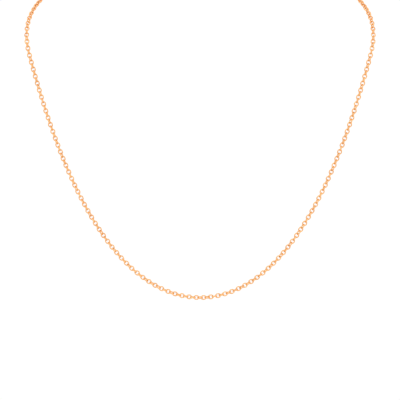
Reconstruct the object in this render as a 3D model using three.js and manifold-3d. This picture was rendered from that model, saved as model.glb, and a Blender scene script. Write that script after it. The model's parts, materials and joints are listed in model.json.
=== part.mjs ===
// A fine cable chain necklace in rose gold, in the shape it takes round a neck.
//
// The chain is oval links of round wire, each standing a quarter turn from the next. The front hangs as a
// catenary in an upright plane. From its two upper ends the chain runs back and up round the neck to the
// nape, where a spring ring clasp closes it.
//
// Millimetres, +Z up. The wearer faces -Y, left is -X and right is +X as seen from the front.
// The origin is the middle of the nape, where the neck holds the chain.

import * as THREE from 'three';
import { mergeVertices } from 'three/addons/utils/BufferGeometryUtils.js';
import Module from 'manifold-3d';

// Driving dimensions
const WIRE = 0.42; // diameter of the link wire
const LINK_WIDTH = 1.84; // over the wire
const PITCH = 1.34; // from one link's centre to the next, which is also a link's inside length
const CATENARY = 31.0; // parameter of the front curve, its radius of curvature at the lowest point
const LINKS_PER_SECTION = 7;
const DRAPE_SECTIONS = 12; // on each side, from the middle section to the side of the neck
const NECK_SECTIONS = 11; // on each side, from there to the clasp
const NAPE_RISE = 38; // nape above the sides of the neck
const SHOULDER_REACH = 28; // how far the curve keeps the direction it has at the side of the neck
const NAPE_REACH = 38; // and the direction it has at the nape
const FIT = 0.03; // play between two pieces that bear on each other
const JOINED = 0.03; // depth that the links of one section share

// Spring ring clasp and the rings beside it
const CLASP_RADIUS = 2.5; // to the middle of the tube
const TUBE_RADIUS = 0.5;
const BORE_RADIUS = 0.34;
const BOLT_RADIUS = 0.26;
const GATE = [50, 85]; // degrees round the clasp from the eyelet, where the tube is cut away
const BOLT = [45, 145]; // degrees, its tip and its tail when shut
const KNOB_ANGLE = 112; // degrees, where the thumb knob stands when shut
const BOLT_TRAVEL = 42; // degrees, until its tip clears the gate
const KNOB_RADIUS = 0.2;
const KNOB_HEIGHT = 1.1; // from the middle of the tube to the top of the knob
const SLOT_PLAY = 4; // degrees, from the knob to each end of its slot
const SPRING = [148, 270]; // degrees, its free end and its fixed end
const SPRING_TURNS = 9;
const SPRING_COIL_RADIUS = 0.21;
const SPRING_WIRE_RADIUS = 0.05;
const EYELET_RADIUS = 0.8;
const EYELET_WIRE_RADIUS = 0.225;
const RING_WIRE_RADIUS = 0.25;
const JUMP_RING_RADIUS = 1.2;
const END_RING_RADIUS = 1.35;

const ROSE_GOLD = new THREE.MeshStandardMaterial({ color: 0xf0b890, roughness: 0.16, metalness: 1 });
const SPRING_STEEL = new THREE.MeshStandardMaterial({ color: 0xb9bcc0, roughness: 0.3, metalness: 1 });

const wasm = await Module();
wasm.setup();

// Solids

function solidOf(geometry) {
  const bare = geometry.clone();
  bare.deleteAttribute('normal');
  bare.deleteAttribute('uv');
  const merged = mergeVertices(bare, 1e-5);
  const mesh = new wasm.Mesh({
    numProp: 3,
    vertProperties: new Float32Array(merged.attributes.position.array),
    triVerts: new Uint32Array(merged.index.array),
  });
  return new wasm.Manifold(mesh);
}

function geometryOf(solid) {
  const mesh = solid.getMesh();
  const geometry = new THREE.BufferGeometry();
  geometry.setAttribute('position', new THREE.BufferAttribute(mesh.vertProperties, 3));
  geometry.setIndex(new THREE.BufferAttribute(mesh.triVerts, 1));
  return geometry;
}

function named(name, geometry, material) {
  const mesh = new THREE.Mesh(geometry, material);
  mesh.name = name;
  return mesh;
}

// Links

const OUTLINE_SIDES = 6;
// The wire is drawn with four sides: it has the round wire's area, and an edge on the inside of the link.
const EDGE_RADIUS = (WIRE / 2) * Math.sqrt(Math.PI / 2);
const OUTLINE_RADIUS = (LINK_WIDTH - WIRE) / 2;

// A link in the XY plane: a six-sided ring, drawn apart along X until the inner edge of each end lies its
// `play` past the point where the link bears on the next one. With less than no play the two share metal.
function linkGeometry(playBehind, playAhead) {
  const inner = OUTLINE_RADIUS - EDGE_RADIUS;
  const outer = OUTLINE_RADIUS + EDGE_RADIUS;
  const section = [
    new THREE.Vector2(inner, 0),
    new THREE.Vector2(OUTLINE_RADIUS, -EDGE_RADIUS),
    new THREE.Vector2(outer, 0),
    new THREE.Vector2(OUTLINE_RADIUS, EDGE_RADIUS),
    new THREE.Vector2(inner, 0),
  ];
  const geometry = new THREE.LatheGeometry(section, OUTLINE_SIDES).rotateX(Math.PI / 2);
  const stretch = PITCH / 2 - inner * Math.cos(Math.PI / OUTLINE_SIDES);
  const position = geometry.attributes.position;
  for (let i = 0; i < position.count; i += 1) {
    const x = position.getX(i);
    if (x > inner / 2) position.setX(i, x + stretch + playAhead);
    else if (x < -inner / 2) position.setX(i, x - stretch - playBehind);
    else position.setX(i, 0);
  }
  return geometry;
}

// The path of one half of the chain

// A catenary in the XZ plane from its lowest point to the arc length `reach`.
class Catenary extends THREE.Curve {
  constructor(parameter, reach) {
    super();
    this.parameter = parameter;
    this.reach = reach;
  }

  getPoint(t, target = new THREE.Vector3()) {
    const along = t * this.reach;
    const x = this.parameter * Math.asinh(along / this.parameter);
    return target.set(x, 0, Math.hypot(this.parameter, along) - this.parameter);
  }
}

const MIDDLE_REACH = (LINKS_PER_SECTION - 1) / 2; // links on each side of the lowest one, in its section
const DRAPE_LINKS = MIDDLE_REACH + DRAPE_SECTIONS * LINKS_PER_SECTION;
const LAST_LINK = DRAPE_LINKS + NECK_SECTIONS * LINKS_PER_SECTION;
const DRAPE_REACH = DRAPE_LINKS * PITCH;
const PATH_DIVISIONS = 4000;

// Where the pieces at the nape stand along X: each bears on the next one's inner side.
const clearRing = (radius) => radius - RING_WIRE_RADIUS - FIT / 2;
const EYELET_FROM_CLASP = CLASP_RADIUS + TUBE_RADIUS + EYELET_RADIUS + EYELET_WIRE_RADIUS + FIT;
const JUMP_RING_FROM_CLASP =
  EYELET_FROM_CLASP + EYELET_RADIUS - EYELET_WIRE_RADIUS - FIT / 2 + clearRing(JUMP_RING_RADIUS);
const END_RING_FROM_CLASP = -(CLASP_RADIUS - TUBE_RADIUS - FIT / 2 + clearRing(END_RING_RADIUS));
const RIGHT_LINK_FROM_CLASP = JUMP_RING_FROM_CLASP + clearRing(JUMP_RING_RADIUS) + PITCH / 2;
const LEFT_LINK_FROM_CLASP = END_RING_FROM_CLASP - clearRing(END_RING_RADIUS) - PITCH / 2;
const CLASP_X = -(RIGHT_LINK_FROM_CLASP + LEFT_LINK_FROM_CLASP) / 2;
const LAST_LINK_X = CLASP_X + RIGHT_LINK_FROM_CLASP;

function halfPath(napeDepth) {
  const front = new Catenary(CATENARY, DRAPE_REACH);
  const side = front.getPoint(1);
  const napeEnd = new THREE.Vector3(LAST_LINK_X, napeDepth, side.z + NAPE_RISE);
  const leaving = side.clone().addScaledVector(front.getTangent(1), SHOULDER_REACH);
  const arriving = napeEnd.clone().add(new THREE.Vector3(NAPE_REACH, 0, 0));
  const path = new THREE.CurvePath();
  path.add(front);
  path.add(new THREE.CubicBezierCurve3(side, leaving, arriving, napeEnd));
  path.curves.forEach((curve) => { curve.arcLengthDivisions = PATH_DIVISIONS; });
  path.arcLengthDivisions = PATH_DIVISIONS;
  return path;
}

// The nape lies as far behind the front as the length of the chain allows.
function napeDepthForLength(length) {
  let [near, far] = [0, length / 2];
  for (let i = 0; i < 40; i += 1) {
    const depth = (near + far) / 2;
    if (halfPath(depth).getLength() < length) near = depth;
    else far = depth;
  }
  return (near + far) / 2;
}

const NAPE_DEPTH = napeDepthForLength(LAST_LINK * PITCH);
const PATH = halfPath(NAPE_DEPTH);
const NAPE_HEIGHT = PATH.getPoint(1).z;

// One station for each link of the half: its centre, the direction of the chain, and a normal that is
// carried along with no twist. The normal faces the front at the lowest link.
function stationsAlong(path) {
  const stations = [];
  let normal = new THREE.Vector3(0, -1, 0);
  for (let i = 0; i <= LAST_LINK; i += 1) {
    const tangent = path.getTangentAt(i / LAST_LINK);
    normal = normal.clone().addScaledVector(tangent, -normal.dot(tangent)).normalize();
    stations.push({ centre: path.getPointAt(i / LAST_LINK), tangent, normal });
  }
  return stations;
}

const STATIONS = stationsAlong(PATH);

// The left half mirrors the right one. Odd links lie flat to the normal and even ones stand on edge.
function linkMatrix(index) {
  const mirror = new THREE.Vector3(index < 0 ? -1 : 1, 1, 1);
  const station = STATIONS[Math.abs(index)];
  const tangent = station.tangent.clone().multiply(mirror);
  const normal = station.normal.clone().multiply(mirror);
  const side = new THREE.Vector3().crossVectors(normal, tangent);
  const matrix = index % 2 === 0
    ? new THREE.Matrix4().makeBasis(tangent, normal, side.negate())
    : new THREE.Matrix4().makeBasis(tangent, side, normal);
  return matrix.setPosition(station.centre.clone().multiply(mirror));
}

// Contact n is where link n bears on link n + 1, counted outwards from the lowest link. Two sections meet
// with play, and the links inside a section are joined.
function playAt(contact) {
  return (contact - MIDDLE_REACH) % LINKS_PER_SECTION === 0 ? FIT / 2 : -JOINED / 2;
}

// Seven links that bear on one another, as one piece placed at its middle link.
function chainSection(name, first, last) {
  const middle = new THREE.Vector3().setFromMatrixPosition(linkMatrix((first + last) / 2));
  const local = new THREE.Matrix4().makeTranslation(middle.clone().negate());
  let section = null;
  for (let i = first; i <= last; i += 1) {
    const geometry = linkGeometry(playAt(Math.abs(i) - 1), playAt(Math.abs(i)));
    geometry.applyMatrix4(local.clone().multiply(linkMatrix(i)));
    const link = solidOf(geometry);
    section = section ? section.add(link) : link;
  }
  const mesh = named(name, geometryOf(section), ROSE_GOLD);
  mesh.position.copy(middle);
  return mesh;
}

function chain() {
  const group = new THREE.Group();
  group.add(chainSection('chain_middle', -MIDDLE_REACH, MIDDLE_REACH));
  for (let section = 1; section <= DRAPE_SECTIONS + NECK_SECTIONS; section += 1) {
    const outer = MIDDLE_REACH + section * LINKS_PER_SECTION;
    const inner = outer - LINKS_PER_SECTION + 1;
    const number = String(section).padStart(2, '0');
    group.add(chainSection(`chain_left_${number}`, -outer, -inner));
    group.add(chainSection(`chain_right_${number}`, inner, outer));
  }
  group.position.set(0, -NAPE_DEPTH, -NAPE_HEIGHT);
  return group;
}

// The clasp and its rings

const TUBE_STEPS = 24; // round the clasp
const TUBE_SIDES = 8;
const BORE_SIDES = 6;
const BOLT_STEPS = 10;
const BOLT_SIDES = 8;
const SPRING_STEPS_PER_TURN = 6;
const SPRING_SIDES = 3;
const RING_STEPS = 14;
const RING_SIDES = 6;

// A point round the clasp, before it is turned over: degrees are counted from the eyelet, over the top.
function roundClasp(degrees, radius, target = new THREE.Vector3()) {
  const angle = THREE.MathUtils.degToRad(degrees);
  return target.set(radius * Math.cos(angle), 0, radius * Math.sin(angle));
}

// An arc round the clasp, or a coil that winds round that arc.
class ClaspArc extends THREE.Curve {
  constructor([start, end], radius, coilRadius = 0, turns = 0) {
    super();
    Object.assign(this, { start, end, radius, coilRadius, turns });
  }

  getPoint(t, target = new THREE.Vector3()) {
    const winding = 2 * Math.PI * this.turns * t;
    roundClasp(
      THREE.MathUtils.lerp(this.start, this.end, t),
      this.radius + this.coilRadius * Math.cos(winding), target,
    );
    target.y = this.coilRadius * Math.sin(winding);
    return target;
  }
}

function disc(radius, sides) {
  const shape = new THREE.Shape();
  for (let i = 0; i < sides; i += 1) {
    const angle = (2 * Math.PI * i) / sides;
    const [x, y] = [radius * Math.cos(angle), radius * Math.sin(angle)];
    if (i === 0) shape.moveTo(x, y);
    else shape.lineTo(x, y);
  }
  shape.closePath();
  return shape;
}

function rodAlong(curve, radius, sides, steps) {
  return new THREE.ExtrudeGeometry(disc(radius, sides), { extrudePath: curve, steps });
}

const upright = (geometry) => geometry.rotateX(Math.PI / 2); // from the XY plane to the XZ plane

// A block that stands across the tube from one angle to another, between two radii.
function acrossTube([start, end], inner, outer, halfDepth) {
  const outline = [
    roundClasp(start, inner), roundClasp(start, outer),
    roundClasp((start + end) / 2, outer / Math.cos(THREE.MathUtils.degToRad((end - start) / 2))),
    roundClasp(end, outer), roundClasp(end, inner),
  ];
  const shape = new THREE.Shape(outline.map(({ x, z }) => new THREE.Vector2(x, z)));
  const block = new THREE.ExtrudeGeometry(shape, { depth: 2 * halfDepth, bevelEnabled: false });
  return upright(block.translate(0, 0, -halfDepth));
}

function claspTube() {
  const outside = upright(new THREE.TorusGeometry(CLASP_RADIUS, TUBE_RADIUS, TUBE_SIDES, TUBE_STEPS));
  const bore = upright(new THREE.TorusGeometry(CLASP_RADIUS, BORE_RADIUS, BORE_SIDES, TUBE_STEPS));
  const [within, beyond] = [CLASP_RADIUS - 2 * TUBE_RADIUS, CLASP_RADIUS + 2 * TUBE_RADIUS];
  const gate = acrossTube(GATE, within, beyond, 2 * TUBE_RADIUS);
  const slotEnds = [KNOB_ANGLE - 2 * SLOT_PLAY, KNOB_ANGLE + BOLT_TRAVEL + 2 * SLOT_PLAY];
  const slot = acrossTube(slotEnds, CLASP_RADIUS, beyond, KNOB_RADIUS + FIT);
  const tube = solidOf(outside).subtract(solidOf(bore)).subtract(solidOf(gate)).subtract(solidOf(slot));
  return named('clasp_tube', geometryOf(tube), ROSE_GOLD);
}

function claspBolt() {
  const rod = rodAlong(new ClaspArc(BOLT, CLASP_RADIUS), BOLT_RADIUS, BOLT_SIDES, BOLT_STEPS);
  const knob = new THREE.CylinderGeometry(KNOB_RADIUS, KNOB_RADIUS, KNOB_HEIGHT, BOLT_SIDES);
  knob.translate(0, CLASP_RADIUS + KNOB_HEIGHT / 2, 0).rotateX(Math.PI / 2);
  knob.rotateY(THREE.MathUtils.degToRad(90 - KNOB_ANGLE));
  return named('clasp_bolt', geometryOf(solidOf(rod).add(solidOf(knob))), ROSE_GOLD);
}

function claspSpring() {
  const coil = new ClaspArc(SPRING, CLASP_RADIUS, SPRING_COIL_RADIUS, SPRING_TURNS);
  const steps = SPRING_STEPS_PER_TURN * SPRING_TURNS;
  return named('clasp_spring', rodAlong(coil, SPRING_WIRE_RADIUS, SPRING_SIDES, steps), SPRING_STEEL);
}

function ring(name, radius, wireRadius, fromClasp) {
  const mesh = named(name, new THREE.TorusGeometry(radius, wireRadius, RING_SIDES, RING_STEPS), ROSE_GOLD);
  mesh.position.x = fromClasp;
  return mesh;
}

// The clasp is turned over on its eyelet, so that its heavy side, with the knob, hangs lowest.
function clasp() {
  const group = new THREE.Group();
  const eyelet = ring('clasp_eyelet', EYELET_RADIUS, EYELET_WIRE_RADIUS, EYELET_FROM_CLASP);
  eyelet.rotation.x = Math.PI / 2;
  const casing = new THREE.Group();
  casing.add(claspTube(), claspBolt(), claspSpring());
  casing.rotation.x = Math.PI;
  group.add(casing, eyelet);
  group.add(ring('jump_ring', JUMP_RING_RADIUS, RING_WIRE_RADIUS, JUMP_RING_FROM_CLASP));
  group.add(ring('end_ring', END_RING_RADIUS, RING_WIRE_RADIUS, END_RING_FROM_CLASP));
  group.position.x = CLASP_X;
  return group;
}

const necklace = new THREE.Group();
necklace.add(chain(), clasp());

export default necklace;
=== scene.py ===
"""A fine rose-gold cable chain necklace, hanging in the shape it takes round a neck.

Metres, +Z up. The wearer faces -Y, left is -X and right is +X as seen from the front, and the origin is the
middle of the nape.
"""

import json

import bmesh
import bpy
import numpy as np
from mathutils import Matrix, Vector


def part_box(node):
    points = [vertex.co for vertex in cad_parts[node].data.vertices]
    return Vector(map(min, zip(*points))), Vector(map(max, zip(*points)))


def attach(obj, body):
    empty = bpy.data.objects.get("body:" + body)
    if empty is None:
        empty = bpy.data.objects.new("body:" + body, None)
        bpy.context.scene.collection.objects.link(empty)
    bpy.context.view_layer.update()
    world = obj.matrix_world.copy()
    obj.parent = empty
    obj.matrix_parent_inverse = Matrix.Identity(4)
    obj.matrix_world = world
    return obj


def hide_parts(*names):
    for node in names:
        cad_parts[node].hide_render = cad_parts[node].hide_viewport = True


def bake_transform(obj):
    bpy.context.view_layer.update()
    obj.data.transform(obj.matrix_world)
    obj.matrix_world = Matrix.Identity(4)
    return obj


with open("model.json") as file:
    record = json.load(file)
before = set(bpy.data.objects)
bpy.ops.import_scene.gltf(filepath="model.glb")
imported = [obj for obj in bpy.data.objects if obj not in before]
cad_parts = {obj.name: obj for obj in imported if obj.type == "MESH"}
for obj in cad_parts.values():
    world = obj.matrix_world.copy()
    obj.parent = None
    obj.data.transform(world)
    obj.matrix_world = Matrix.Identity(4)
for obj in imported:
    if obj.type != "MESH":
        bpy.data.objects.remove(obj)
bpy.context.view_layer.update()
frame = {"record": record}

# ---------------------------------------------------------------------------
# Camera: a long lens, level with the middle of the front, square to the plane
# in which the front of the chain hangs.
# ---------------------------------------------------------------------------

LENS = 200
SENSOR = 36
VIEW_WIDTH = 0.148
BELOW_THE_CHAIN = 0.03695

chain_lowest, chain_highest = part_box("chain_middle")
front_plane = (chain_lowest.y + chain_highest.y) / 2
camera = bpy.data.objects.new("camera", bpy.data.cameras.new("camera"))
camera.data.lens = LENS
camera.data.sensor_width = SENSOR
camera.location = (
    0,
    front_plane - VIEW_WIDTH * LENS / SENSOR,
    chain_lowest.z - BELOW_THE_CHAIN + VIEW_WIDTH / 2,
)
camera.rotation_euler = (np.pi / 2, 0, 0)
bpy.context.scene.collection.objects.link(camera)
bpy.context.scene.camera = camera

# ---------------------------------------------------------------------------
# Studio: white surroundings, a pale floor well below the hanging chain, and
# soft boxes above and to both sides that put a bright line along each wire.
# ---------------------------------------------------------------------------

SURROUNDINGS_STRENGTH = 1.03
FLOOR_RADIUS = 4.2
FLOOR_DROP = 0.5
FLOOR_SIDES = 96
SOFT_BOX_SIZE = 0.9
# Place, and radiance against the white surroundings
SOFT_BOXES = {
    "key_light": ((-0.9, -1.3, 1.1), 1.8),
    "fill_light": ((1.4, -0.9, 0.5), 1.3),
    "top_light": ((0.1, 0.6, 1.5), 1.6),
}

bpy.context.scene.view_settings.view_transform = "Standard"

world = bpy.data.worlds.new("white_surroundings")
world.use_nodes = True
surroundings = world.node_tree.nodes["Background"].inputs
surroundings["Color"].default_value = (1, 1, 1, 1)
surroundings["Strength"].default_value = SURROUNDINGS_STRENGTH
bpy.context.scene.world = world

turn = np.linspace(0, 2 * np.pi, FLOOR_SIDES, endpoint=False)
floor_edge = FLOOR_RADIUS * np.stack([np.cos(turn), np.sin(turn), 0 * turn], 1)
floor_edge[:, 2] = chain_lowest.z - FLOOR_DROP
floor_mesh = bpy.data.meshes.new("floor")
floor_mesh.from_pydata(floor_edge.tolist(), [], [list(range(FLOOR_SIDES))])
floor_paint = bpy.data.materials.new("floor_paint")
floor_paint.use_nodes = True
floor_shader = floor_paint.node_tree.nodes["Principled BSDF"]
floor_shader.inputs["Base Color"].default_value = (0.93, 0.93, 0.93, 1)
floor_shader.inputs["Roughness"].default_value = 0.9
floor_mesh.materials.append(floor_paint)
floor = bpy.data.objects.new("floor", floor_mesh)
bpy.context.scene.collection.objects.link(floor)

aim = camera.location.copy()
aim.y = front_plane
for name, (place, radiance) in SOFT_BOXES.items():
    soft_box = bpy.data.objects.new(name, bpy.data.lights.new(name, "AREA"))
    soft_box.data.size = SOFT_BOX_SIZE
    soft_box.data.energy = radiance * np.pi * SOFT_BOX_SIZE**2
    soft_box.location = place
    soft_box.rotation_euler = (soft_box.location - aim).to_track_quat("Z", "Y").to_euler()
    soft_box.visible_camera = False
    bpy.context.scene.collection.objects.link(soft_box)

# ---------------------------------------------------------------------------
# Chain: soldered oval links of round rose-gold wire, each standing a quarter
# turn from the next. Links are bent round a mandrel, closed with a solder
# seam on one long side, and tumbled to a soft polish.
# ---------------------------------------------------------------------------

LINK_WIRE = 0.00042
LINK_WIDTH = 0.00184
LINK_PITCH = 0.00134
SECTION_LINKS = 7
DRAPE_SECTIONS = 12
NECK_SECTIONS = 11
# The hanging curve's parameter, and how high and how far the curve round the neck runs from its ends
CATENARY = 0.031
NAPE_RISE = 0.038
SHOULDER_REACH = 0.028
NAPE_REACH = 0.038
# The gap where two wires bear on each other
PLAY = 0.00003
RING_WIRE = 0.0005
CURVE_STEPS = 4000
LINK_STEPS = 12
LINK_SIDES = 6
# The links that stand on edge lean over a little in their play, and no two lie quite alike.
LEAN = np.radians(20)
LEAN_SPREAD = np.radians(6)
FLAT_SPREAD = np.radians(5)
# The two end links of a section lean less, which leaves its joints free to turn.
END_LEAN = 0.5
CHANCE_SEED = 5

# How much the clouds in the gold count, where the difference between alloys counts as one
CLOUD_SHARE = 0.35
REDDEST_GOLD = (0.83, 0.41, 0.15, 1)
PALEST_GOLD = (0.91, 0.50, 0.20, 1)
CLOUD_SCALE = 2600
DRAWN_LINE_DEPTH = 0.00001
SOLDER = (0.93, 0.58, 0.28, 1)
SEAM_PLACE = 0.25

MIDDLE_REACH = (SECTION_LINKS - 1) // 2
DRAPE_LINKS = MIDDLE_REACH + DRAPE_SECTIONS * SECTION_LINKS
LAST_LINK = DRAPE_LINKS + NECK_SECTIONS * SECTION_LINKS


def catenary(along):
    """Points and directions of the hanging front, by arc length s from its lowest point: x = a asinh(s / a),
    z = sqrt(a^2 + s^2) - a, and the direction is (a, s) over sqrt(a^2 + s^2)."""
    level = np.zeros_like(along)
    reach = np.hypot(CATENARY, along)
    points = np.stack([CATENARY * np.arcsinh(along / CATENARY), level, reach - CATENARY], 1)
    return points, np.stack([CATENARY / reach, level, along / reach], 1)


def neck_curve(ends, along):
    """Points and directions of the arc round the neck, by arc length: four points weighted by (1 - t)^3,
    3t(1 - t)^2, 3t^2(1 - t) and t^3, with t read off the summed chords of a fine division."""

    def weighted(t):
        return np.stack([(1 - t) ** 3, 3 * t * (1 - t) ** 2, 3 * t**2 * (1 - t), t**3], 1) @ ends

    fine = np.linspace(0, 1, CURVE_STEPS + 1)
    chords = np.linalg.norm(np.diff(weighted(fine), axis=0), axis=1)
    t = np.interp(along, np.concatenate([[0], np.cumsum(chords)]), fine)
    slope = np.stack([(1 - t) ** 2, 2 * t * (1 - t), t**2], 1) @ np.diff(ends, axis=0)
    return weighted(t), slope / np.linalg.norm(slope, axis=1, keepdims=True)


def untwisted(directions, start):
    """Normals that don't spin about the chain. Start, less its part along each direction, gives a first guess
    at the normal and the side; between one link and the next the guess spins by the arctangent of its cross
    parts over its matching parts, and the sum of those angles turns it back."""
    normals = start - directions * (directions @ start)[:, None]
    normals /= np.linalg.norm(normals, axis=1, keepdims=True)
    sides = np.cross(directions, normals)
    last, this = slice(None, -1), slice(1, None)
    crossing = (normals[last] * sides[this] - sides[last] * normals[this]).sum(1)
    matching = (normals[last] * normals[this] + sides[last] * sides[this]).sum(1)
    spin = np.concatenate([[0], np.cumsum(np.arctan2(crossing, matching))])[:, None]
    return normals * np.cos(spin) + sides * np.sin(spin)


front_points, front_directions = catenary(np.arange(DRAPE_LINKS + 1) * LINK_PITCH)
side_of_neck = front_points[-1]
last_link_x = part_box("jump_ring")[1].x - RING_WIRE - PLAY / 2 + LINK_PITCH / 2
nape_end = np.array([last_link_x, -front_plane, side_of_neck[2] + NAPE_RISE])
leaving = side_of_neck + SHOULDER_REACH * front_directions[-1]
arriving = nape_end + [NAPE_REACH, 0, 0]
neck_points, neck_directions = neck_curve(
    np.array([side_of_neck, leaving, arriving, nape_end]),
    np.arange(1, LAST_LINK - DRAPE_LINKS + 1) * LINK_PITCH,
)
centres = np.concatenate([front_points, neck_points]) + [0, front_plane, -nape_end[2]]
directions = np.concatenate([front_directions, neck_directions])
normals = untwisted(directions, np.array([0.0, -1.0, 0.0]))


def fair(sides):
    """How far out the corners of a many-sided shape stand for it to be as long round as the true circle:
    half a side's angle over its sine."""
    return np.pi / sides / np.sin(np.pi / sides)


def link_points(indices, leans):
    """Points of oval rings of round wire. The middle of the wire is an ellipse, and the surface is that
    middle plus the wire's radius times (outward cos v + upward sin v). Odd links lie flat to the normal and
    even ones stand on edge, each turned by its lean, and the left half mirrors the right."""
    u = np.linspace(0, 2 * np.pi, LINK_STEPS, endpoint=False)[:, None]
    v = np.linspace(0, 2 * np.pi, LINK_SIDES, endpoint=False)[None, :]
    half_length = (LINK_PITCH + LINK_WIRE + PLAY) / 2 * fair(LINK_STEPS)
    half_width = (LINK_WIDTH - LINK_WIRE) / 2 * fair(LINK_STEPS)
    wire = LINK_WIRE / 2 * fair(LINK_SIDES)
    outward = np.stack([half_width * np.cos(u), half_length * np.sin(u)])
    outward = outward / np.linalg.norm(outward, axis=0) * wire
    ring = np.stack(
        [
            half_length * np.cos(u) + outward[0] * np.cos(v),
            half_width * np.sin(u) + outward[1] * np.cos(v),
            wire * np.sin(v) + 0 * u,
        ]
    )
    mirror = np.where(indices[:, None] < 0, (-1, 1, 1), (1, 1, 1))
    centre, direction, normal = (part[np.abs(indices)] * mirror for part in (centres, directions, normals))
    side = np.cross(normal, direction)
    flat = (indices % 2 == 1)[:, None]
    across, above = np.where(flat, side, normal), np.where(flat, normal, -side)
    lean = (leans * mirror[:, 0])[:, None]
    leaning = np.cos(lean) * across + np.sin(lean) * above
    upright = np.cos(lean) * above - np.sin(lean) * across
    return centre[:, None, None] + np.einsum("kuv,kna->nuva", ring, [direction, leaning, upright])


def grid_object(name, points, closed, keep=None):
    """An object from grids of points, shaped (grids, along, round, 3). Each face joins four neighbours. Round
    always closes, and closed says whether along does; end rows shrunk to a point are merged into poles. keep
    says which faces stay."""
    grids, along, sides, _ = points.shape
    rows = along if closed else along - 1
    grid, row, side = np.meshgrid(np.arange(grids), np.arange(rows), np.arange(sides), indexing="ij")
    steps = [(0, 0), (1, 0), (1, 1), (0, 1)]
    corners = [(grid * along + (row + i) % along) * sides + (side + j) % sides for i, j in steps]
    marks = [np.stack([(row + i) / rows, (side + j) / sides], -1) for i, j in steps]
    kept = np.ones((grids, rows, sides), bool) if keep is None else keep
    faces, marks = np.stack(corners, -1)[kept], np.stack(marks, -2)[kept]
    mesh = bpy.data.meshes.new(name)
    mesh.from_pydata(points.reshape(-1, 3).tolist(), [], faces.tolist())
    mesh.uv_layers.new(name="wire").data.foreach_set("uv", marks.astype(np.float32).ravel())
    mended = bmesh.new()
    mended.from_mesh(mesh)
    if not closed:
        bmesh.ops.remove_doubles(mended, verts=mended.verts, dist=1e-8)
    bmesh.ops.delete(mended, geom=[v for v in mended.verts if not v.link_faces], context="VERTS")
    mended.to_mesh(mesh)
    mended.free()
    mesh.shade_smooth()
    made = bpy.data.objects.new(name, mesh)
    bpy.context.scene.collection.objects.link(made)
    return made


def mark_alloy(piece, shades):
    """Gives each point of a piece the shade of its casting, as the attribute that the gold's colour reads."""
    attribute = piece.data.attributes.new("alloy", "FLOAT", "POINT")
    attribute.data.foreach_set("value", np.broadcast_to(shades, len(piece.data.vertices)).astype(np.float32))


def shader_node(tree, kind, inputs=(), **settings):
    """Adds a node. Inputs gives each of its sockets a plain value or the output that feeds it."""
    added = tree.nodes.new(f"ShaderNode{kind}")
    for setting, value in settings.items():
        setattr(added, setting, value)
    for socket, value in dict(inputs).items():
        if isinstance(value, bpy.types.NodeSocket):
            tree.links.new(value, added.inputs[socket])
        else:
            added.inputs[socket].default_value = value
    return added


def new_metal(name):
    """A metal with nothing yet on its sockets but full metallic: the material, its nodes and its shader."""
    material = bpy.data.materials.new(name)
    material.use_nodes = True
    shader = material.node_tree.nodes["Principled BSDF"]
    shader.inputs["Metallic"].default_value = 1
    return material, material.node_tree, shader


def rose_gold(name, gloss, line_scale):
    """Rose gold: its colour follows the alloy mark and drifts in clouds, its roughness clouds between the two
    values of gloss, and fine lines run along the wire where it was drawn."""
    material, tree, shader = new_metal(name)
    place = shader_node(tree, "TexCoord").outputs["Object"]
    noise = {"Vector": place, "Scale": CLOUD_SCALE, "Detail": 3, "Roughness": 0.6}
    clouds = shader_node(tree, "TexNoise", noise).outputs["Fac"]
    alloy = shader_node(tree, "Attribute", attribute_name="alloy").outputs["Fac"]
    drift = shader_node(tree, "Math", {0: clouds, 1: CLOUD_SHARE, 2: alloy}, operation="MULTIPLY_ADD")
    tone = shader_node(tree, "ValToRGB", {"Fac": drift.outputs[0]})
    tone.color_ramp.elements[0].color = REDDEST_GOLD
    tone.color_ramp.elements[1].color = PALEST_GOLD
    tree.links.new(tone.outputs["Color"], shader.inputs["Base Color"])

    steps = {"Value": clouds, "From Min": 0.3, "From Max": 0.7, "To Min": gloss[0], "To Max": gloss[1]}
    haze = shader_node(tree, "MapRange", steps)
    tree.links.new(haze.outputs["Result"], shader.inputs["Roughness"])

    wire = shader_node(tree, "UVMap", uv_map="wire").outputs["UV"]
    drawn = shader_node(tree, "Mapping", {"Vector": wire, "Scale": line_scale}).outputs["Vector"]
    lines = shader_node(tree, "TexNoise", {"Vector": drawn, "Scale": 3, "Detail": 2}).outputs["Fac"]
    relief = {"Height": lines, "Strength": 0.12, "Distance": DRAWN_LINE_DEPTH}
    bump = shader_node(tree, "Bump", relief)
    tree.links.new(bump.outputs["Normal"], shader.inputs["Normal"])
    return material


def add_solder(material, width, dullness=0.14, paleness=0.6):
    """The solder seam on one side of a ring, a quarter of the way round: duller and paler within half its
    width, fading out by its whole width."""
    tree = material.node_tree
    shader = tree.nodes["Principled BSDF"]
    wire = shader_node(tree, "UVMap", uv_map="wire").outputs["UV"]
    along = shader_node(tree, "SeparateXYZ", {0: wire}).outputs["X"]
    off_seam = shader_node(tree, "Math", {0: along, 1: SEAM_PLACE}, operation="SUBTRACT").outputs[0]
    from_seam = shader_node(tree, "Math", {0: off_seam}, operation="ABSOLUTE").outputs[0]
    steps = {"Value": from_seam, "From Min": width / 2, "From Max": width, "To Min": 1, "To Max": 0}
    solder = shader_node(tree, "MapRange", steps).outputs["Result"]
    haze = shader.inputs["Roughness"].links[0].from_socket
    duller = shader_node(tree, "Math", {0: solder, 1: dullness, 2: haze}, operation="MULTIPLY_ADD")
    tree.links.new(duller.outputs[0], shader.inputs["Roughness"])
    share = shader_node(tree, "Math", {0: solder, 1: paleness}, operation="MULTIPLY").outputs[0]
    gold = shader.inputs["Base Color"].links[0].from_socket
    paler = shader_node(tree, "Mix", {0: share, 6: gold, 7: SOLDER}, data_type="RGBA")
    tree.links.new(paler.outputs[2], shader.inputs["Base Color"])


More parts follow.
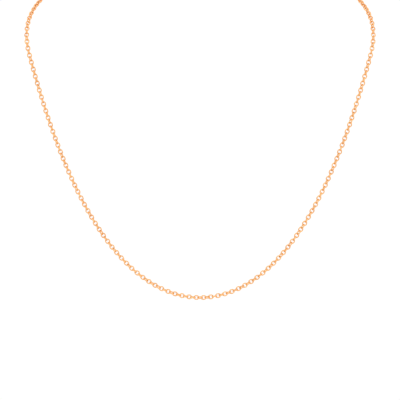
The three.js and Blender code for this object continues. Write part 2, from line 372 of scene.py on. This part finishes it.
def add_rubbing(material, brightening=0.08):
    """Wear where links rub: roughness falls on the inner side of the two ends of a link, by the cosine of
    twice the angle along it times the cosine of the angle round the wire, where that is over a half."""
    tree = material.node_tree
    shader = tree.nodes["Principled BSDF"]
    wire = shader_node(tree, "UVMap", uv_map="wire").outputs["UV"]
    split = shader_node(tree, "SeparateXYZ", {0: wire}).outputs
    twice = shader_node(tree, "Math", {0: split["X"], 1: 4 * np.pi}, operation="MULTIPLY").outputs[0]
    inner = {0: split["Y"], 1: 2 * np.pi, 2: np.pi}
    inwards = shader_node(tree, "Math", inner, operation="MULTIPLY_ADD").outputs[0]
    at_ends = shader_node(tree, "Math", {0: twice}, operation="COSINE").outputs[0]
    inside = shader_node(tree, "Math", {0: inwards}, operation="COSINE").outputs[0]
    rubbed = shader_node(tree, "Math", {0: at_ends, 1: inside}, operation="MULTIPLY").outputs[0]
    steps = {"Value": rubbed, "From Min": 0.5, "From Max": 1, "To Min": 0, "To Max": brightening}
    worn = shader_node(tree, "MapRange", steps).outputs["Result"]
    haze = shader.inputs["Roughness"].links[0].from_socket
    smoother = shader_node(tree, "Math", {0: haze, 1: worn}, operation="SUBTRACT")
    tree.links.new(smoother.outputs[0], shader.inputs["Roughness"])


bodies = {node: body for body, nodes in frame["record"]["behaviour"]["bodies"].items() for node in nodes}
chance = np.random.default_rng(CHANCE_SEED)
tumbled_gold = rose_gold("tumbled_rose_gold", gloss=(0.12, 0.26), line_scale=(6, 40, 1))
add_solder(tumbled_gold, width=0.025)
add_rubbing(tumbled_gold)
sections = {"middle": np.arange(-MIDDLE_REACH, MIDDLE_REACH + 1)}
for number in range(1, DRAPE_SECTIONS + NECK_SECTIONS + 1):
    outwards = MIDDLE_REACH + (number - 1) * SECTION_LINKS + np.arange(1, SECTION_LINKS + 1)
    sections[f"left_{number:02d}"] = -outwards
    sections[f"right_{number:02d}"] = outwards

end_links = np.isin(np.arange(SECTION_LINKS), (0, SECTION_LINKS - 1))
for name, indices in sections.items():
    on_edge = LEAN + LEAN_SPREAD * chance.standard_normal(SECTION_LINKS)
    lying = FLAT_SPREAD * chance.standard_normal(SECTION_LINKS)
    leans = np.where(indices % 2 == 0, on_edge, lying) * np.where(end_links, END_LEAN, 1)
    links = grid_object(f"links_{name}", link_points(indices, leans), closed=True)
    mark_alloy(links, np.repeat(chance.random(SECTION_LINKS), LINK_STEPS * LINK_SIDES))
    links.data.materials.append(tumbled_gold)
    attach(links, bodies[f"chain_{name}"])
    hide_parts(f"chain_{name}")

# ---------------------------------------------------------------------------
# Rings at the two ends of the chain, of stouter wire. The end ring, which the
# clasp hooks, is soldered shut. The jump ring, which holds the clasp, is cut:
# it is twisted open and closed again with pliers.
# ---------------------------------------------------------------------------

RING_STEPS = 48
RING_SIDES = 12
CUT_ANGLE = np.radians(90)
CUT_WIDTH = 0.00002
CUT_EDGE = 0.00003
RIM_STEPS = 4


def hoop(angles, first, second):
    """Directions round a circle: outward is first cos a + second sin a, and forward is the same a quarter
    turn on."""
    first, second, angles = np.array(first, float), np.array(second, float), angles[:, None]
    outward = first * np.cos(angles) + second * np.sin(angles)
    return outward, second * np.cos(angles) - first * np.sin(angles)


def rod_points(middle, forward, outward, radii, sides):
    """One grid of points round a rod: its middle plus its radius times (outward cos v + sideways sin v)."""
    v = np.linspace(0, 2 * np.pi, sides, endpoint=False)[None, :, None]
    sideways = np.cross(outward, forward)
    around = outward[:, None] * np.cos(v) + sideways[:, None] * np.sin(v)
    return (middle[:, None] + np.broadcast_to(radii, len(middle))[:, None, None] * around)[None]


def cut_ends(length, steps, radius, edge):
    """Stations along a rod and its radius at each. Each end is flat, and its rim is a quarter circle, where
    the radius is short by edge (1 - sin q) at edge (1 - cos q) from the end."""
    q = np.linspace(0, np.pi / 2, RIM_STEPS)
    rim, short = edge * (1 - np.cos(q)), radius - edge * (1 - np.sin(q))
    between = np.linspace(edge, length - edge, steps)[1:-1]
    stations = np.concatenate([[0], rim, between, length - rim[::-1], [length]])
    return stations, np.concatenate([[0], short, np.full(steps - 2, radius), short[::-1], [0]])


def box_centre(node):
    """The middle of a CAD node's box along X, on the line through the nape."""
    low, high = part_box(node)
    return np.array([(low.x + high.x) / 2, 0, 0])


def ring_radius(node):
    """Radius to the middle of a ring's wire: half its box's width less the wire."""
    low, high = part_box(node)
    return (high.x - low.x - RING_WIRE) / 2


def finish_gold(piece, node, material, shade):
    """Gives a piece its alloy mark and material, and sets it on the body of the CAD node that it replaces."""
    mark_alloy(piece, shade)
    piece.data.materials.append(material)
    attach(piece, bodies[node])
    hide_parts(node)


soldered_gold = rose_gold("soldered_rose_gold", gloss=(0.10, 0.2), line_scale=(10, 20, 1))
add_solder(soldered_gold, width=0.02)
outward, forward = hoop(np.linspace(0, 2 * np.pi, RING_STEPS, endpoint=False), (1, 0, 0), (0, 1, 0))
middle = box_centre("end_ring") + ring_radius("end_ring") * outward
soldered = rod_points(middle, forward, outward, RING_WIRE / 2, RING_SIDES)
finish_gold(grid_object("soldered_end_ring", soldered, closed=True), "end_ring", soldered_gold, shade=0.4)

radius = ring_radius("jump_ring")
stations, radii = cut_ends(2 * np.pi * radius - CUT_WIDTH, RING_STEPS, RING_WIRE / 2, CUT_EDGE)
outward, forward = hoop(CUT_ANGLE + (stations + CUT_WIDTH / 2) / radius, (1, 0, 0), (0, 1, 0))
cut = rod_points(box_centre("jump_ring") + radius * outward, forward, outward, radii, RING_SIDES)
bent_gold = rose_gold("bent_rose_gold", gloss=(0.12, 0.24), line_scale=(10, 20, 1))
finish_gold(grid_object("cut_jump_ring", cut, closed=False), "jump_ring", bent_gold, shade=0.7)

# ---------------------------------------------------------------------------
# Clasp tube: the hollow ring of the spring ring clasp, drawn as tube, bent and
# cut away at the gate that the bolt closes. The knob runs in a slot with round
# ends along its outer side. It hangs turned over, with the knob lowest.
# ---------------------------------------------------------------------------

CLASP_RADIUS = 0.0025
TUBE_RADIUS = 0.0005
BORE_RADIUS = 0.00034
GATE = np.radians((50, 85))
KNOB_ANGLE = np.radians(112)
BOLT_TRAVEL = np.radians(42)
KNOB_RADIUS = 0.0002
SLOT_PLAY = np.radians(4)
TUBE_STEPS = 96
WALL_SIDES = 18
STEPS_TO_SLOT = 8
SLOT_STEPS = 18
SLOT_SIDES = 6
# The shift that rounds the slot's ends fades out over this many of its half widths.
SLOT_FADE = 3
TUBE_EDGE = 0.00003
CREASE = np.radians(50)
CLASP_FIRST, CLASP_SECOND = (1, 0, 0), (0, 0, -1)

clasp_centre = box_centre("clasp_tube")
slot_width = KNOB_RADIUS + PLAY
slot_round = slot_width / (CLASP_RADIUS + TUBE_RADIUS)
slot_start = KNOB_ANGLE - 2 * SLOT_PLAY
slot_end = KNOB_ANGLE + BOLT_TRAVEL + 2 * SLOT_PLAY
slot_side = np.arcsin(slot_width / TUBE_RADIUS)
tube_angles = np.concatenate(
    [
        np.linspace(GATE[1], slot_start, STEPS_TO_SLOT, endpoint=False),
        np.linspace(slot_start, slot_end, SLOT_STEPS, endpoint=False),
        np.linspace(slot_end, 2 * np.pi + GATE[0], TUBE_STEPS),
    ]
)
round_tube = np.concatenate(
    [
        np.linspace(-slot_side, slot_side, SLOT_SIDES, endpoint=False),
        np.linspace(slot_side, 2 * np.pi - slot_side, WALL_SIDES, endpoint=False),
    ]
)


def tube_points(angles, around):
    """Points of the tube: the circle round the clasp, plus the tube's radius times (outward cos b + sideways
    sin b). Near an end of the slot, the points between its sides move into it by w - sqrt(w^2 - y^2), with w
    its half width and y how far they are off its middle, which rounds that end."""
    a, b = np.meshgrid(angles, around, indexing="ij")
    height = np.sqrt(np.clip(1 - (np.sin(b) * TUBE_RADIUS / slot_width) ** 2, 0, 1)) * (np.cos(b) > 0)
    near_start = np.clip(1 - np.abs(a - slot_start) / (SLOT_FADE * slot_round), 0, 1)
    near_end = np.clip(1 - np.abs(a - slot_end) / (SLOT_FADE * slot_round), 0, 1)
    over_slot = np.abs(np.sin(b)) <= slot_width / TUBE_RADIUS
    a = a + slot_round * (1 - height) * (near_start - near_end) * over_slot
    radial = CLASP_RADIUS + TUBE_RADIUS * np.cos(b)
    flat = np.stack([radial * np.cos(a), TUBE_RADIUS * np.sin(b), -radial * np.sin(a)], -1)
    return (clasp_centre + flat)[None]


rows = np.arange(len(tube_angles) - 1)[None, :, None]
columns = np.arange(len(round_tube))[None, None, :]
along_slot = (rows >= STEPS_TO_SLOT) & (rows < STEPS_TO_SLOT + SLOT_STEPS)
in_slot = along_slot & (columns < SLOT_SIDES)
tube = grid_object("slotted_tube", tube_points(tube_angles, round_tube), closed=False, keep=~in_slot)
wall = tube.modifiers.new("wall", "SOLIDIFY")
wall.thickness = TUBE_RADIUS - BORE_RADIUS
wall.offset = -1
edge = tube.modifiers.new("edge", "BEVEL")
edge.width = TUBE_EDGE
edge.segments = 2
edge.limit_method = "ANGLE"
edge.angle_limit = CREASE
polished_gold = rose_gold("polished_rose_gold", gloss=(0.06, 0.14), line_scale=(30, 8, 1))
finish_gold(tube, "clasp_tube", polished_gold, shade=0.5)

# ---------------------------------------------------------------------------
# Eyelet: a small closed ring, soldered to the outside of the tube with a bead
# that creeps up both of them. The jump ring passes through it.
# ---------------------------------------------------------------------------

EYELET_WIRE = 0.00045
EYELET_RADIUS = 0.0008
BEAD_LENGTH = 0.0003
BEAD_RADIUS = 0.00034
BEAD_STEPS = 12

outward, forward = hoop(np.linspace(0, 2 * np.pi, RING_STEPS, endpoint=False), CLASP_FIRST, CLASP_SECOND)
eyelet_centre = box_centre("clasp_eyelet")
eyelet = rod_points(eyelet_centre + EYELET_RADIUS * outward, forward, outward, EYELET_WIRE / 2, RING_SIDES)
finish_gold(grid_object("eyelet_ring", eyelet, closed=True), "clasp_eyelet", bent_gold, shade=0.45)

reach = np.cos(np.linspace(np.pi, 0, BEAD_STEPS))
bead_middle = eyelet_centre - [EYELET_RADIUS + EYELET_WIRE / 2, 0, 0] + reach[:, None] * [BEAD_LENGTH, 0, 0]
bead_forward = np.broadcast_to((1.0, 0, 0), (BEAD_STEPS, 3))
bead_outward = np.broadcast_to((0, 1.0, 0), (BEAD_STEPS, 3))
bead_radii = BEAD_RADIUS * np.sqrt(np.clip(1 - reach**2, 0, 1))
bead = rod_points(bead_middle, bead_forward, bead_outward, bead_radii, RING_SIDES)
finish_gold(grid_object("eyelet_solder", bead, closed=False), "clasp_eyelet", bent_gold, shade=0.9)

# ---------------------------------------------------------------------------
# Bolt: a bent rod that slides in the tube and closes the gate, with a small
# knob riveted into it for the thumbnail.
# ---------------------------------------------------------------------------

BOLT = np.radians((45, 145))
BOLT_RADIUS = 0.00026
BOLT_STEPS = 30
BOLT_EDGE = 0.00008
KNOB_STEM = 0.00013
KNOB_HEIGHT = 0.0011
KNOB_NECK = 0.00052
KNOB_FLARE = 0.00016
KNOB_STEPS = 24

stations, radii = cut_ends(CLASP_RADIUS * (BOLT[1] - BOLT[0]), BOLT_STEPS, BOLT_RADIUS, BOLT_EDGE)
outward, forward = hoop(BOLT[0] + stations / CLASP_RADIUS, CLASP_FIRST, CLASP_SECOND)
rod = rod_points(clasp_centre + CLASP_RADIUS * outward, forward, outward, radii, RING_SIDES)
finish_gold(grid_object("bolt_rod", rod, closed=False), "clasp_bolt", polished_gold, shade=0.3)

height = np.concatenate([[0], np.linspace(0, KNOB_HEIGHT, KNOB_STEPS)])
flare = (1 - np.cos(np.pi * np.clip((height - KNOB_NECK) / KNOB_FLARE, 0, 1))) / 2
dome = np.sqrt(1 - np.clip((height - KNOB_HEIGHT + KNOB_RADIUS) / KNOB_RADIUS, 0, 1) ** 2)
radii = (KNOB_STEM + (KNOB_RADIUS - KNOB_STEM) * flare) * dome
radii[0] = 0
outward, forward = hoop(np.full(len(height), KNOB_ANGLE), CLASP_FIRST, CLASP_SECOND)
knob_middle = clasp_centre + (CLASP_RADIUS + height[:, None]) * outward
knob = rod_points(knob_middle, outward, forward, radii, RING_SIDES)
finish_gold(grid_object("bolt_knob", knob, closed=False), "clasp_bolt", polished_gold, shade=0.6)

# ---------------------------------------------------------------------------
# Spring: a fine steel coil inside the tube, between its fixed end and the tail
# of the bolt. On the real clasp it shortens as the bolt is drawn and pushes it
# shut again; here it is one fixed coil, built at rest.
# ---------------------------------------------------------------------------

SPRING = np.radians((148, 270))
SPRING_TURNS = 9
SPRING_COIL_RADIUS = 0.00021
SPRING_WIRE = 0.0001
STEPS_PER_TURN = 20
SPRING_SIDES = 6
DARK_STEEL = (0.42, 0.43, 0.45, 1)
PALE_STEEL = (0.62, 0.63, 0.64, 1)

share = np.linspace(0, 1, SPRING_TURNS * STEPS_PER_TURN + 1)
winding = 2 * np.pi * SPRING_TURNS * share[:, None]
outward, forward = hoop(SPRING[0] + (SPRING[1] - SPRING[0]) * share, CLASP_FIRST, CLASP_SECOND)
from_coil = outward * np.cos(winding) + np.array([0, 1, 0]) * np.sin(winding)
coil = clasp_centre + CLASP_RADIUS * outward + SPRING_COIL_RADIUS * from_coil
along_coil = np.gradient(coil, axis=0)
along_coil /= np.linalg.norm(along_coil, axis=1, keepdims=True)
from_coil -= along_coil * (from_coil * along_coil).sum(1, keepdims=True)
from_coil /= np.linalg.norm(from_coil, axis=1, keepdims=True)
ends = np.concatenate([[0], np.arange(len(share)), [len(share) - 1]])
spring_radii = np.full(len(ends), SPRING_WIRE / 2)
spring_radii[[0, -1]] = 0
spring = grid_object(
    "steel_spring",
    rod_points(coil[ends], along_coil[ends], from_coil[ends], spring_radii, SPRING_SIDES),
    closed=False,
)


def spring_steel():
    """Drawn spring steel: a cool grey, streaked along the wire by a stretched noise that also stirs its
    roughness."""
    material, tree, shader = new_metal("drawn_spring_steel")
    wire = shader_node(tree, "UVMap", uv_map="wire").outputs["UV"]
    drawn = shader_node(tree, "Mapping", {"Vector": wire, "Scale": (40, 12, 1)}).outputs["Vector"]
    streaks = shader_node(tree, "TexNoise", {"Vector": drawn, "Scale": 3}).outputs["Fac"]
    tone = shader_node(tree, "ValToRGB", {"Fac": streaks})
    tone.color_ramp.elements[0].color = DARK_STEEL
    tone.color_ramp.elements[1].color = PALE_STEEL
    tree.links.new(tone.outputs["Color"], shader.inputs["Base Color"])
    sheen = shader_node(tree, "MapRange", {"Value": streaks, "To Min": 0.2, "To Max": 0.45})
    tree.links.new(sheen.outputs["Result"], shader.inputs["Roughness"])
    return material


spring.data.materials.append(spring_steel())
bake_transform(spring)
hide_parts("clasp_spring")
